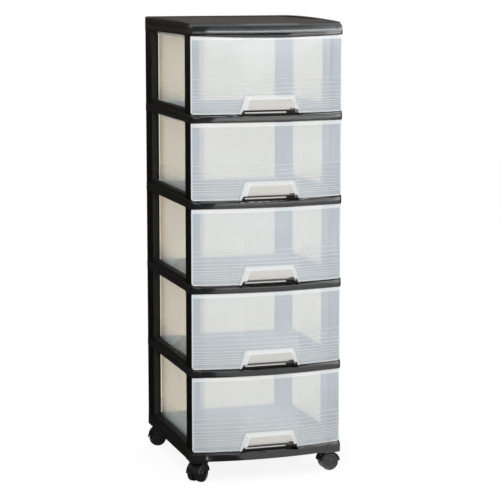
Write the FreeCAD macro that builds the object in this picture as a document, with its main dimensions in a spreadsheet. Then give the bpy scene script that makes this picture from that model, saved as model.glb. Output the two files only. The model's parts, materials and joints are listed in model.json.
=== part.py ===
"""A five-drawer storage tower on swivel casters.

Black moulded frame: a base frame on four casters, four open shelf frames, ten side
frames with windows and a top cover.  Five one-piece translucent drawers with bowed
full-width fronts and pull hoods slide out of it.  Millimetres, +Z up, front towards -Y,
z = 0 on the floor, origin under the middle of the tower.
"""
import FreeCAD, Part
import math
import os

import Sketcher

TIERS = 5
VEC = FreeCAD.Vector
LEAST_CUT = 1.0  # cubic millimetres that every pocket must take away
SAME_PLACE = 0.05  # millimetres within which a point counts as found

SIZES = [
    # whole frame
    ("frame_width", 345.0, "across the outer faces of the side frames"),
    ("frame_depth", 378.0, "front corner to rear of the frame"),
    ("tier_pitch", 186.0, "from one tier to the next"),
    ("skin", 2.5, "wall of the frame mouldings"),
    ("seat_gap", 0.2, "play between frame mouldings that plug together"),
    ("front_bow", 20.9, "how far the fronts bulge in the middle"),
    # shelf frames and base frame
    ("shelf_rise", 6.5, "underside of a shelf frame above its tier line"),
    ("shelf_height", 17.5, "height of a shelf frame"),
    ("shelf_overhang", 0.4, "shelf rail beyond the side frame"),
    ("corner_step", 1.6, "front corner of a shelf beyond its rail"),
    ("corner_round", 8.0, "rounding of the front corners"),
    ("bar_proud", 1.5, "front bar beyond the drawer fronts"),
    ("slope_height", 4.5, "height of the slope along the top of a front bar"),
    ("slope_depth", 2.5, "how far that slope leans back"),
    ("under_height", 2.5, "height of the slope along the foot of a front bar"),
    ("under_depth", 1.2, "how far that slope leans back"),
    ("opening_width", 220.0, "opening in a shelf between its side ledges"),
    ("front_rail", 28.0, "depth of the front rail behind the corner"),
    ("rear_rail", 30.0, "depth of the rear rail"),
    ("scoop_depth", 4.0, "finger scoop in the top of the front bar"),
    ("scoop_round", 12.0, "rounded ends of the scoop, seen from above"),
    ("scoop_bowl", 3.0, "rounding between the scoop's floor and its wall"),
    ("scoop_floor", 3.0, "plastic left under the scoop"),
    ("bar_lift", 3.0, "base bar above the caster blocks"),
    ("cap_width", 36.0, "width of the corner caps of the base"),
    ("cap_proud", 1.0, "corner caps beyond the bar"),
    ("cap_depth", 18.0, "corner caps behind the corner"),
    # side frames
    ("front_post", 42.0, "front post, front to back"),
    ("front_boss", 66.0, "thick part of the front post, with its wing inside the window"),
    ("rear_post", 54.0, "rear post, front to back"),
    ("rear_boss", 38.0, "thick part of the rear post"),
    ("post_thickness", 21.0, "thickness of the posts"),
    ("window_frame", 13.0, "thickness of the frame round the window"),
    ("sill_height", 11.0, "window sill above the shelf"),
    ("flange_width", 28.0, "rear flange, side to side"),
    ("flange_thickness", 9.0, "rear flange, front to back"),
    ("tongue_start", 6.0, "tongue on top of a side frame behind the front corner"),
    # drawers
    ("drawer_gap", 0.3, "drawer floor above its ledges"),
    ("front_margin", 0.8, "drawer front inside the frame's width"),
    ("front_seat", 0.5, "closed drawer front before the posts"),
    ("front_low_gap", 0.7, "drawer front above the bar below it"),
    ("front_top_gap", 0.8, "drawer front below the bar above it"),
    ("front_wall", 2.5, "wall of the drawer front"),
    ("drawer_wall", 2.0, "walls and floor of the drawer box"),
    ("side_room", 5.5, "drawer box beside the posts"),
    ("rear_room", 14.0, "drawer box before the rear of the frame"),
    ("box_corner", 10.0, "rounding of the rear corners"),
    ("front_corner", 6.0, "rounded lower corners of the drawer front"),
    ("lip_width", 10.0, "rim lip beyond the box"),
    ("lip_thickness", 2.5, "rim lip"),
    ("lip_drop", 6.5, "turned-down edge of the rim lip"),
    ("lip_edge", 1.8, "thickness of the turned-down edge"),
    ("lip_start", 6.0, "rim lip behind the front corner"),
    ("lip_tail", 3.0, "rim lip behind the box"),
    ("lip_gap", 2.0, "rim lip below the shelf above"),
    ("guide_gap", 1.5, "rim lip above the thick posts"),
    ("hem_height", 9.0, "thick band along the top of the front"),
    ("hem_extra", 1.5, "added thickness of that band"),
    # pull hoods
    ("hood_width", 139.0, "hood at its foot"),
    ("hood_slant", 13.0, "each end leans in by this"),
    ("hood_taper", 12.0, "each end narrows by this towards the front"),
    ("hood_corner", 7.0, "rounded upper corners of the hood"),
    ("hood_height", 40.0, "hood top above the front's lower edge"),
    ("hood_proud", 9.0, "hood beyond the bowed front"),
    ("hood_slope", 8.5, "sloping top of the hood"),
    ("hood_wall", 2.5, "wall of the hood"),
    ("hood_lip", 9.0, "hood lip above the front's lower edge"),
    ("finger_depth", 15.0, "finger pocket behind the bowed front"),
    ("mouth_rim", 4.0, "hood beside the mouth"),
    ("mouth_round", 10.0, "rounded upper corners of the mouth"),
    # top cover
    ("cover_front", 20.0, "height of the fascia"),
    ("cover_side", 25.0, "height of the skirt at the sides"),
    ("cover_crown", 7.5, "rise from the skirt to the highest point of the arched top"),
    ("crown_place", 260.0, "highest point of the top behind the front corners"),
    ("crown_radius", 4900.0, "arch of the top, front to back"),
    ("crown_slope", 4.5, "slope along the upper edges of the sides"),
    ("fascia_foot", 8.0, "upright lower part of the fascia"),
    ("fascia_lean", 4.0, "how far the fascia leans back above that"),
    ("brow_depth", 8.0, "sloping brow above the fascia"),
    ("border_side", 22.0, "raised border beside the tray"),
    ("border_rear", 12.0, "raised border behind the tray"),
    ("tray_depth", 3.5, "floor of the tray below the highest point of its borders"),
    ("tray_start", 90.0, "hollow under the tray's floor behind the front corners"),
    ("cover_plate", 2.5, "plate under the tray"),
    ("apron_dip", 4.5, "middle of the fascia below its ends"),
    # casters
    ("caster_height", 47.5, "floor to the underside of the base"),
    ("caster_inset", 28.0, "swivel axis from the side and from the front corner"),
    ("caster_trail", 12.0, "axle behind the swivel axis"),
    ("wheel_diameter", 40.0, "caster wheel"),
    ("wheel_width", 11.5, "caster wheel"),
    ("wheel_gap", 0.4, "wheel beside the web"),
    ("wheel_round", 2.5, "rounded outer edge of the wheel"),
    ("wheel_dish", 1.2, "depth of the dished wheel face"),
    ("web_width", 8.0, "web between the wheels"),
    ("web_diameter", 34.0, "web between the wheels"),
    ("hood_clear", 1.0, "caster hood over the wheel"),
    ("hood_shell", 2.5, "wall of the caster hood"),
    ("hood_half", 17.0, "half width of the caster hood"),
    ("hood_level", 1.0, "edge of the caster hood above the axle"),
    ("boss_diameter", 19.0, "boss round the stem"),
    ("stem_diameter", 8.0, "steel stem"),
    ("stem_engage", 7.0, "stem inside the boss"),
    ("socket_depth", 19.0, "stem inside the base"),
    ("socket_wall", 9.0, "plastic round the stem socket"),
    ("stem_flange", 1.5, "thickness of the stem's flange"),
    ("flange_diameter", 18.0, "stem's flange"),
    ("swivel_gap", 0.3, "boss below the flange"),
    ("axle_diameter", 5.0, "steel axle"),
    ("axle_short", 1.0, "axle end inside the wheel face"),
    ("running_fit", 0.06, "radial play of turning pins"),
    ("press_play", 0.02, "radial play of pressed pins"),
    # how the casters stand in the photograph: degrees from +X to the trailing side
    ("turn_front_left", 222.0, "front left caster"),
    ("turn_front_right", 2.0, "front right caster"),
    ("turn_rear_left", 162.0, "rear left caster"),
    ("turn_rear_right", 18.0, "rear right caster"),
]

doc = FreeCAD.newDocument("drawer_tower")
sheet = doc.addObject("Spreadsheet::Sheet", "sizes")


class Size:
    """A length together with the sheet formula that drives it."""

    def __init__(self, text, value):
        self.text = text
        self.value = float(value)

    def joined(self, sign, other, value):
        return Size("(%s %s %s)" % (self.text, sign, other.text), value)

    def __add__(self, other):
        other = as_size(other)
        return self.joined("+", other, self.value + other.value)

    def __sub__(self, other):
        other = as_size(other)
        return self.joined("-", other, self.value - other.value)

    def __mul__(self, other):
        other = as_size(other)
        return self.joined("*", other, self.value * other.value)

    def __truediv__(self, other):
        other = as_size(other)
        return self.joined("/", other, self.value / other.value)

    def __neg__(self):
        return Size("(-1 * %s)" % self.text, -self.value)


def as_size(number):
    if isinstance(number, Size):
        return number
    return Size("(%s)" % repr(float(number)), number)


def root(size):
    return Size("sqrt(%s)" % size.text, math.sqrt(size.value))


def read_sizes():
    """Fill the sheet and return the sizes by name."""
    found = {}
    for row, (name, value, note) in enumerate(SIZES, 1):
        sheet.set("A%d" % row, name)
        sheet.set("B%d" % row, str(value))
        sheet.set("C%d" % row, note)
        sheet.setAlias("B%d" % row, name)
        found[name] = Size("sizes.%s" % name, value)
    doc.recompute()
    return found


S = read_sizes()
ZERO = as_size(0.0)

# derived places, in the frame of one tier: y = 0 at the front corner of the side frames
half = S["frame_width"] / 2
depth = S["frame_depth"]
pitch = S["tier_pitch"]
skin = S["skin"]
deck = S["shelf_rise"] + S["shelf_height"]
roof = pitch + S["shelf_rise"]
rail_half = half + S["shelf_overhang"]
corner_half = rail_half + S["corner_step"]
side_rear = depth - S["shelf_overhang"]
post_inner = half - S["post_thickness"]
window_inner = half - S["window_frame"]

front_half = half - S["front_margin"]
front_corner_y = -(S["front_wall"] + S["front_seat"])
front_radius = (front_half * front_half + S["front_bow"] * S["front_bow"]) / (S["front_bow"] * 2)
arc_centre = front_corner_y - S["front_bow"] + front_radius
bar_radius = front_radius + S["bar_proud"]
front_mid = front_corner_y - S["front_bow"]

box_half = post_inner - S["side_room"]
box_rear = depth - S["rear_room"]
floor_low = deck + S["drawer_gap"]
lip_top = roof - S["lip_gap"]
lip_low = lip_top - S["lip_drop"]
post_top = lip_low - S["guide_gap"]
front_low = deck + S["front_low_gap"]
front_top = roof - S["front_top_gap"]
hood_y = front_mid - S["hood_proud"]
pocket_y = front_mid + S["finger_depth"]
arch_half = corner_half - S["corner_round"]
arch_radius = (arch_half * arch_half + S["apron_dip"] * S["apron_dip"]) / (S["apron_dip"] * 2)

wheel_radius = S["wheel_diameter"] / 2
stem_radius = S["stem_diameter"] / 2
axle_radius = S["axle_diameter"] / 2
boss_top = S["caster_height"] - S["stem_flange"] - S["swivel_gap"]

# the corner plane is moved so that the hoods and the rear lie evenly round the origin
corner_plane = -(depth + hood_y) / 2


def bowed(radius, x):
    """y of a bowed front of this radius at this x."""
    return arc_centre - root(radius * radius - x * x)


def new_body(label, x=ZERO, y=ZERO, z=ZERO, turn=None):
    body = doc.addObject("PartDesign::Body", label)
    body.Label = label
    place = FreeCAD.Placement(VEC(x.value, y.value, z.value), FreeCAD.Rotation(VEC(0, 0, 1), 0))
    if turn is not None:
        place.Rotation = FreeCAD.Rotation(VEC(0, 0, 1), turn.value)
    body.Placement = place
    body.setExpression("Placement.Base.x", x.text)
    body.setExpression("Placement.Base.y", y.text)
    body.setExpression("Placement.Base.z", z.text)
    if turn is not None:
        body.setExpression("Placement.Rotation.Angle", turn.text)
    return body


def new_sketch(body, role, lift):
    """A sketch on one of the body's origin planes, lifted along its normal."""
    sketch = body.newObject("Sketcher::SketchObject", body.Label + "_sketch")
    for plane in body.Origin.OriginFeatures:
        if plane.Role == role:
            sketch.AttachmentSupport = [(plane, "")]
    sketch.MapMode = "FlatFace"
    sketch.AttachmentOffset = FreeCAD.Placement(VEC(0, 0, lift.value), FreeCAD.Rotation())
    sketch.setExpression("AttachmentOffset.Base.z", lift.text)
    return sketch


def bind(sketch, constraint, size):
    index = sketch.addConstraint(constraint)
    sketch.setExpression("Constraints[%d]" % index, size.text)


def pin_point(sketch, edge, end, x, y):
    """Tie one end of an edge to its place from the origin."""
    if abs(x.value) < 1e-9:
        sketch.addConstraint(Sketcher.Constraint("PointOnObject", edge, end, -2))
    else:
        bind(sketch, Sketcher.Constraint("DistanceX", -1, 1, edge, end, x.value), x)
    if abs(y.value) < 1e-9:
        sketch.addConstraint(Sketcher.Constraint("PointOnObject", edge, end, -1))
    else:
        bind(sketch, Sketcher.Constraint("DistanceY", -1, 1, edge, end, y.value), y)


def arc_between(start, end, radius, centre_side):
    """Arc from start to end; its centre lies on that side of the chord (+1 above, -1 below)."""
    chord = end - start
    reach = math.sqrt(radius ** 2 - chord.Length ** 2 / 4.0)
    above = VEC(-chord.y, chord.x, 0) if chord.x > 0 else VEC(chord.y, -chord.x, 0)
    centre = (start + end) * 0.5 + above * (centre_side * reach / chord.Length)
    first = math.atan2(start.y - centre.y, start.x - centre.x)
    last = math.atan2(end.y - centre.y, end.x - centre.x)
    circle = Part.Circle(centre, VEC(0, 0, 1), radius)
    forward = (last - first) % (2 * math.pi) < math.pi
    if forward:
        return Part.ArcOfCircle(circle, first, first + (last - first) % (2 * math.pi)), True
    return Part.ArcOfCircle(circle, last, last + (first - last) % (2 * math.pi)), False


def add_loop(sketch, points, arcs=None):
    """A closed outline through the points; arcs maps an edge number to (radius, centre side)."""
    arcs = arcs or {}
    count = len(points)
    ends = []
    base = sketch.GeometryCount
    for number, (x, y) in enumerate(points):
        next_x, next_y = points[(number + 1) % count]
        start = VEC(x.value, y.value, 0)
        end = VEC(next_x.value, next_y.value, 0)
        if number in arcs:
            arc, forward = arc_between(start, end, arcs[number][0].value, arcs[number][1])
            sketch.addGeometry(arc)
            ends.append((1, 2) if forward else (2, 1))
        else:
            sketch.addGeometry(Part.LineSegment(start, end))
            ends.append((1, 2))
    for number in range(count):
        after = (number + 1) % count
        sketch.addConstraint(Sketcher.Constraint(
            "Coincident", base + number, ends[number][1], base + after, ends[after][0]))
    for number, (x, y) in enumerate(points):
        pin_point(sketch, base + number, ends[number][0], x, y)
        if number in arcs:
            radius = arcs[number][0]
            bind(sketch, Sketcher.Constraint("Radius", base + number, radius.value), radius)


def box_points(x0, x1, y0, y1):
    return [(x0, y0), (x1, y0), (x1, y1), (x0, y1)]


def add_circle(sketch, x, y, radius):
    edge = sketch.addGeometry(Part.Circle(VEC(x.value, y.value, 0), VEC(0, 0, 1), radius.value))
    pin_point(sketch, edge, 3, x, y)
    bind(sketch, Sketcher.Constraint("Radius", edge, radius.value), radius)


def pad(body, sketch, length, middle=False):
    feature = body.newObject("PartDesign::Pad", body.Label + "_pad")
    feature.Profile = sketch
    feature.Length = length.value
    feature.setExpression("Length", length.text)
    feature.Midplane = middle
    return feature


def pocket(body, sketch, length, middle=False, upward=False):
    """Cut against the sketch's normal, or along it when upward is set."""
    feature = body.newObject("PartDesign::Pocket", body.Label + "_pocket")
    feature.Profile = sketch
    feature.Length = length.value
    feature.setExpression("Length", length.text)
    feature.Midplane = middle
    feature.Reversed = upward
    return feature


def pad_loop(body, points, low, high, arcs=None):
    """Raise an XY outline from low to high."""
    sketch = new_sketch(body, "XY_Plane", low)
    add_loop(sketch, points, arcs)
    return pad(body, sketch, high - low)


def cut_loop(body, points, low, high, arcs=None):
    """Cut an XY outline from high down to low."""
    sketch = new_sketch(body, "XY_Plane", high)
    add_loop(sketch, points, arcs)
    return pocket(body, sketch, high - low)


def edges_where(shape, test):
    return ["Edge%d" % number for number, edge in enumerate(shape.Edges, 1) if test(edge)]


def soften(body, kind, size, test):
    """Fillet or chamfer the edges that pass the test."""
    doc.recompute()
    base = body.Tip
    names = edges_where(base.Shape, test)
    if not names:
        raise RuntimeError("no edge to soften on " + body.Label)
    feature = body.newObject("PartDesign::" + kind, body.Label + "_" + kind.lower())
    feature.Base = (base, names)
    key = "Radius" if kind == "Fillet" else "Size"
    setattr(feature, key, size.value)
    feature.setExpression(key, size.text)
    return feature


def near(value, wanted):
    return abs(value - wanted) < SAME_PLACE


def upright_at(x, y):
    """Test for a vertical edge at |x|, y."""
    def test(edge):
        ends = [vertex.Point for vertex in edge.Vertexes]
        if len(ends) != 2 or near(ends[0].z, ends[1].z):
            return False
        return all(near(abs(point.x), x.value) and near(point.y, y.value) for point in ends)
    return test


# Frame mouldings


def corner_places(half_width, radius, corner):
    """y where a corner arc leaves the side; x and y where it meets the bowed front."""
    inner = radius - corner
    across = half_width - corner
    reach = root(inner * inner - across * across)
    return arc_centre - reach, across * radius / inner, arc_centre - reach * radius / inner


def shelf_outline(lean=ZERO):
    """Outline of a shelf frame: wider front corners, bowed bar set back by the lean."""
    radius = bar_radius - lean
    corner = S["corner_round"]
    side_y, bow_x, bow_y = corner_places(corner_half, radius, corner)
    points = [
        (-rail_half, depth),
        (-rail_half, S["front_post"]),
        (-corner_half, S["front_post"]),
        (-corner_half, side_y),
        (-bow_x, bow_y),
        (bow_x, bow_y),
        (corner_half, side_y),
        (corner_half, S["front_post"]),
        (rail_half, S["front_post"]),
        (rail_half, depth),
    ]
    return points, {3: (corner, 1), 4: (radius, 1), 5: (corner, 1)}


def plain_outline(half_width, rear, radius):
    """Straight sides and rear with a bowed front."""
    y = bowed(radius, half_width)
    points = [(-half_width, rear), (-half_width, y), (half_width, y), (half_width, rear)]
    return points, {1: (radius, 1)}


def rounded_outline(half_width, rear, radius, corner):
    """Straight sides and rear with a bowed front and rounded front corners."""
    side_y, bow_x, bow_y = corner_places(half_width, radius, corner)
    points = [(-half_width, rear), (-half_width, side_y), (-bow_x, bow_y),
              (bow_x, bow_y), (half_width, side_y), (half_width, rear)]
    return points, {1: (corner, 1), 2: (radius, 1), 3: (corner, 1)}


def loft_between(body, role, lower, upper, cut=False):
    """Straight-sided solid or cut between two outlines, each a lift with points and arcs."""
    sketches = []
    for lift, (points, arcs) in (lower, upper):
        sketch = new_sketch(body, role, lift)
        add_loop(sketch, points, arcs)
        sketches.append(sketch)
    kind = "Subtractive" if cut else "Additive"
    loft = body.newObject("PartDesign::%sLoft" % kind, body.Label + "_loft")
    loft.Profile = sketches[0]
    loft.Sections = [sketches[1]]
    loft.Ruled = True


def shelf(label, z, low, foot):
    """An open shelf frame: skirt and front bar, deck with side ledges, finger scoop."""
    body = new_body(label, y=corner_plane, z=z)
    slope_low = deck - S["slope_height"]
    points, arcs = shelf_outline()
    pad_loop(body, points, foot, slope_low, arcs)
    loft_between(body, "XY_Plane", (slope_low, shelf_outline()), (deck, shelf_outline(S["slope_depth"])))
    if foot.value > low.value:
        loft_between(body, "XY_Plane", (low, shelf_outline(S["under_depth"])), (foot, shelf_outline()))

    opening_half = S["opening_width"] / 2
    opening_rear = depth - S["rear_rail"]
    hollow = new_sketch(body, "XY_Plane", deck - skin)
    points, arcs = rounded_outline(rail_half - skin, depth - skin, bar_radius - skin,
                                   S["corner_round"] - skin)
    add_loop(hollow, points, arcs)
    add_loop(hollow, box_points(-(opening_half + skin), opening_half + skin,
                                S["front_rail"] - skin, opening_rear + skin))
    pocket(body, hollow, deck - skin - low)

    # solid seat for the finger scoop, just behind the bar's skin
    scoop_half = S["hood_width"] / 2
    seat_half = scoop_half + skin
    scoop_rear = pocket_y + skin
    seat_radius = bar_radius - skin * 3 / 4
    seat_y = bowed(seat_radius, seat_half)
    seat = [(-seat_half, scoop_rear + skin), (-seat_half, seat_y),
            (seat_half, seat_y), (seat_half, scoop_rear + skin)]
    pad_loop(body, seat, deck - S["scoop_depth"] - S["scoop_floor"], deck - skin / 2,
             {1: (seat_radius, 1)})
    cut_loop(body, box_points(-opening_half, opening_half, S["front_rail"], opening_rear), low, deck)
    dig_scoop(body, scoop_half, scoop_rear)
    return body


def dig_scoop(body, scoop_half, rear):
    """Finger scoop in the top of the front bar, with rounded ends and a rounded floor."""
    corner = S["scoop_round"]
    floor = deck - S["scoop_depth"]
    points = [(-scoop_half, hood_y), (scoop_half, hood_y), (scoop_half, rear - corner),
              (scoop_half - corner, rear), (-(scoop_half - corner), rear), (-scoop_half, rear - corner)]
    cut_loop(body, points, floor, deck, {2: (corner, -1), 4: (corner, -1)})

    def floor_edge(edge):
        ends = [vertex.Point for vertex in edge.Vertexes]
        return len(ends) == 2 and all(
            near(point.z, floor.value) and point.y > rear.value - corner.value - SAME_PLACE
            and abs(point.x) < scoop_half.value + SAME_PLACE for point in ends)
    soften(body, "Fillet", S["scoop_bowl"], floor_edge)


def build_shelf(number):
    low = S["shelf_rise"]
    foot = low + S["under_height"]
    shelf("shelf_frame_%d" % number, S["caster_height"] + pitch * number, low, foot)


def build_base():
    """The lowest shelf frame, with corner caps and caster sockets."""
    body = shelf("base_frame", S["caster_height"], ZERO, ZERO)
    cap_inner = corner_half - S["cap_width"]
    cap_outer = corner_half + S["cap_proud"]
    cap_radius = bar_radius + S["cap_proud"]
    cut_loop(body, box_points(-cap_inner, cap_inner, hood_y, S["front_rail"] - skin),
             ZERO, S["bar_lift"])
    for side in (-1, 1):
        points = [(cap_inner * side, S["cap_depth"]), (cap_inner * side, bowed(cap_radius, cap_inner)),
                  (cap_outer * side, bowed(cap_radius, cap_outer)), (cap_outer * side, S["cap_depth"])]
        sketch = new_sketch(body, "XY_Plane", ZERO)
        add_cap_loop(sketch, points, cap_radius)
        pad(body, sketch, deck - S["slope_height"])
        for y in (S["caster_inset"], depth - S["caster_inset"]):
            x = (half - S["caster_inset"]) * side
            boss = new_sketch(body, "XY_Plane", ZERO)
            add_circle(boss, x, y, stem_radius + S["socket_wall"])
            pad(body, boss, deck - skin)
    soften(body, "Fillet", S["corner_round"], upright_at(cap_outer, bowed(cap_radius, cap_outer)))
    for side in (-1, 1):
        for y in (S["caster_inset"], depth - S["caster_inset"]):
            bore = new_sketch(body, "XY_Plane", ZERO)
            add_circle(bore, (half - S["caster_inset"]) * side, y, stem_radius + S["press_play"])
            pocket(body, bore, S["socket_depth"] + S["swivel_gap"], upward=True)


def add_cap_loop(sketch, points, radius):
    """Corner cap: three straight sides and a piece of the bowed front."""
    base = sketch.GeometryCount
    spots = [VEC(x.value, y.value, 0) for x, y in points]
    sketch.addGeometry(Part.LineSegment(spots[0], spots[1]))
    circle = Part.Circle(VEC(0, arc_centre.value, 0), VEC(0, 0, 1), radius.value)
    angles = [math.atan2(spot.y - arc_centre.value, spot.x) for spot in spots[1:3]]
    forward = angles[1] > angles[0]
    sketch.addGeometry(Part.ArcOfCircle(circle, min(angles), max(angles)))
    sketch.addGeometry(Part.LineSegment(spots[2], spots[3]))
    sketch.addGeometry(Part.LineSegment(spots[3], spots[0]))
    ends = [(1, 2), (1, 2) if forward else (2, 1), (1, 2), (1, 2)]
    for number in range(4):
        after = (number + 1) % 4
        sketch.addConstraint(Sketcher.Constraint(
            "Coincident", base + number, ends[number][1], base + after, ends[after][0]))
        pin_point(sketch, base + number, ends[number][0], *points[number])
    bind(sketch, Sketcher.Constraint("Radius", base + 1, radius.value), radius)


def build_side(name, number, side):
    """A side frame: plate with a window, tubular posts, rear flange, tongue on top."""
    body = new_body("%s_side_frame_%d" % (name, number), y=corner_plane,
                    z=S["caster_height"] + pitch * (number - 1))
    top = roof + S["shelf_height"] - skin
    mid_plate = half - S["window_frame"] / 2
    pad_loop(body, box_points(half * side, window_inner * side, ZERO, side_rear), deck, top)
    pad_loop(body, box_points(mid_plate * side, post_inner * side, ZERO, S["front_boss"]),
             deck, post_top)
    boss_front = side_rear - S["rear_boss"]
    pad_loop(body, box_points(mid_plate * side, post_inner * side, boss_front, side_rear),
             deck, post_top)
    flange_inner = half - S["flange_width"]
    pad_loop(body, box_points(mid_plate * side, flange_inner * side,
                              side_rear - S["flange_thickness"], side_rear),
             deck, roof - S["seat_gap"])

    window = new_sketch(body, "YZ_Plane", (half if side > 0 else -window_inner) + skin)
    add_loop(window, box_points(S["front_post"], depth - S["rear_post"],
                                deck + S["sill_height"], roof))
    pocket(body, window, S["window_frame"] + skin * 2)

    hollow = new_sketch(body, "XY_Plane", deck)
    add_loop(hollow, box_points((half - skin) * side, (post_inner + skin) * side,
                                skin, S["front_post"] - skin))
    add_loop(hollow, box_points((half - skin) * side, (post_inner + skin) * side,
                                boss_front + skin, side_rear - S["flange_thickness"]))
    pocket(body, hollow, post_top - deck - skin, upward=True)

    # tongue that plugs into the shelf or cover above
    tongue_outer = rail_half - skin - S["seat_gap"]
    tongue = new_sketch(body, "XY_Plane", top)
    add_loop(tongue, box_points((half + skin) * side, (flange_inner - skin) * side,
                                -skin, depth + skin))
    add_loop(tongue, box_points(tongue_outer * side, (window_inner - skin) * side,
                                S["tongue_start"], depth - skin - S["seat_gap"]))
    pocket(body, tongue, top - roof)


def arched_top(y):
    """Height of the cover's arched top at this y."""
    radius = S["crown_radius"]
    away = y - S["crown_place"]
    return S["cover_side"] + S["cover_crown"] - radius + root(radius * radius - away * away)


def shape_top(body, crown):
    """Arch the top from front to back and slope the upper edges of its sides."""
    above = crown + skin * 2
    front = hood_y - skin
    rear = depth + skin
    arch = new_sketch(body, "YZ_Plane", rail_half + skin)
    add_loop(arch, [(front, arched_top(front)), (rear, arched_top(rear)), (rear, above), (front, above)],
             {0: (S["crown_radius"], -1)})
    pocket(body, arch, (rail_half + skin) * 2)

    slope = S["crown_slope"]
    edges = new_sketch(body, "XZ_Plane", -hood_y)
    for side in (-1, 1):
        outer = (rail_half + skin) * side
        add_loop(edges, [(outer, crown - slope - skin), (outer, crown + skin),
                         ((rail_half - slope - skin) * side, crown + skin)])
    pocket(body, edges, depth - hood_y + skin)


def build_cover():
    """Top cover: bowed fascia with a sloping brow, skirt, arched top and shallow tray."""
    body = new_body("top_cover", y=corner_plane,
                    z=S["caster_height"] + pitch * TIERS + S["shelf_rise"])
    foot = S["fascia_foot"]
    lean = S["fascia_lean"]
    fascia = S["cover_front"]
    skirt = S["cover_side"]
    crown = skirt + S["cover_crown"]
    corner = S["corner_round"]
    points, arcs = shelf_outline()
    pad_loop(body, points, ZERO, foot, arcs)
    loft_between(body, "XY_Plane", (foot, shelf_outline()), (fascia, shelf_outline(lean)))

    brow_radius = bar_radius - lean - S["brow_depth"]
    brow = rounded_outline(rail_half, depth, brow_radius, corner)
    loft_between(body, "XY_Plane",
                 (fascia, rounded_outline(rail_half, depth, bar_radius - lean, corner)), (skirt, brow))
    pad_loop(body, brow[0], skirt, crown, brow[1])
    shape_top(body, crown)

    # apron under the fascia, arched so that it hangs lowest in the middle
    dip = S["apron_dip"]
    outer_y = bowed(bar_radius, arch_half)
    inner_y = bowed(bar_radius - skin, arch_half)
    apron = [(-arch_half, outer_y), (arch_half, outer_y), (arch_half, inner_y), (-arch_half, inner_y)]
    pad_loop(body, apron, -dip, ZERO, {0: (bar_radius, 1), 2: (bar_radius - skin, 1)})
    arch = new_sketch(body, "XZ_Plane", -hood_y)
    add_loop(arch, [(-arch_half, -dip * 2), (arch_half, -dip * 2),
                    (arch_half, ZERO), (-arch_half, ZERO)], {2: (arch_radius, 1)})
    pocket(body, arch, S["front_post"] - hood_y)

    under = S["shelf_height"] - skin
    points, arcs = rounded_outline(rail_half - skin, depth - skin, bar_radius - skin, corner - skin)
    cut_loop(body, points, ZERO, foot, arcs)
    points, arcs = rounded_outline(rail_half - skin, depth - skin, bar_radius - lean - skin, corner - skin)
    cut_loop(body, points, foot, under, arcs)
    tray_floor = crown - S["tray_depth"]
    tray_half = rail_half - S["border_side"]
    tray_rear = depth - S["border_rear"]
    ledge = post_inner - skin * 2
    cut_loop(body, box_points(-ledge, ledge, lean + S["brow_depth"], tray_rear - skin),
             under, skirt - skin / 2)
    cut_loop(body, box_points(-ledge, ledge, S["tray_start"], tray_rear - skin),
             skirt - skin / 2, tray_floor - S["cover_plate"])
    points, arcs = rounded_outline(tray_half, tray_rear, brow_radius - skin, corner)
    cut_loop(body, points, tray_floor, crown, arcs)


# Drawers


def build_box(number):
    """Box of a drawer: floor, walls with rounded rear corners, rim lip; open to the front."""
    body = new_body("drawer_box_%d" % number, y=corner_plane,
                    z=S["caster_height"] + pitch * (number - 1))
    wall = S["drawer_wall"]
    pad_loop(body, box_points(-box_half, box_half, front_corner_y, box_rear), floor_low, lip_top)
    inner_half = box_half - wall
    cut_loop(body, box_points(-inner_half, inner_half, front_corner_y, box_rear - wall),
             floor_low + wall, lip_top)
    soften(body, "Fillet", S["box_corner"] - wall, upright_at(inner_half, box_rear - wall))
    soften(body, "Fillet", S["box_corner"], upright_at(box_half, box_rear))
    add_lip(body, box_half - wall / 2, box_rear - wall / 2, lip_top - S["lip_thickness"])
    edge_half = box_half + S["lip_width"] - S["lip_edge"]
    add_lip(body, edge_half, box_rear + S["lip_tail"] - S["lip_edge"], lip_low)


def add_lip(body, inner_half, inner_rear, low):
    """A U-shaped strip from this inner line out to the lip's edge."""
    outer_half = box_half + S["lip_width"]
    outer_rear = box_rear + S["lip_tail"]
    start = S["lip_start"]
    points = [(-outer_half, start), (-inner_half, start), (-inner_half, inner_rear),
              (inner_half, inner_rear), (inner_half, start), (outer_half, start),
              (outer_half, outer_rear), (-outer_half, outer_rear)]
    pad_loop(body, points, low, lip_top)


def build_front(number):
    """Front of a drawer: bowed plate with its thick top band, pull hood and finger pocket."""
    body = new_body("drawer_front_%d" % number, y=corner_plane,
                    z=S["caster_height"] + pitch * (number - 1))
    wall = S["drawer_wall"]
    inner_radius = front_radius - S["front_wall"]
    outer_y = bowed(front_radius, front_half)
    inner_y = bowed(inner_radius, front_half)
    plate = [(-front_half, outer_y), (front_half, outer_y), (front_half, inner_y),
             (-front_half, inner_y)]
    pad_loop(body, plate, front_low, front_top, {0: (front_radius, 1), 2: (inner_radius, 1)})

    # floor and side walls run on from the box to the bowed plate
    mid_radius = inner_radius + S["front_wall"] / 2
    reach_y = bowed(mid_radius, box_half)
    floor = [(-box_half, reach_y), (box_half, reach_y), (box_half, front_corner_y),
             (-box_half, front_corner_y)]
    pad_loop(body, floor, floor_low, floor_low + wall, {0: (mid_radius, 1)})
    for side in (-1, 1):
        stub = box_points(box_half * side, (box_half - wall) * side, reach_y, front_corner_y)
        pad_loop(body, stub, floor_low, lip_top)

    hem_half = box_half - wall / 2
    hem_radius = inner_radius - S["hem_extra"]
    hem = [(-hem_half, bowed(mid_radius, hem_half)), (hem_half, bowed(mid_radius, hem_half)),
           (hem_half, bowed(hem_radius, hem_half)), (-hem_half, bowed(hem_radius, hem_half))]
    pad_loop(body, hem, front_top - S["hem_height"], front_top, {0: (mid_radius, 1), 2: (hem_radius, 1)})

    round_lower_corners(body)
    add_hood(body)
    if number == TIERS:
        hollow_top_edge(body)


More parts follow.
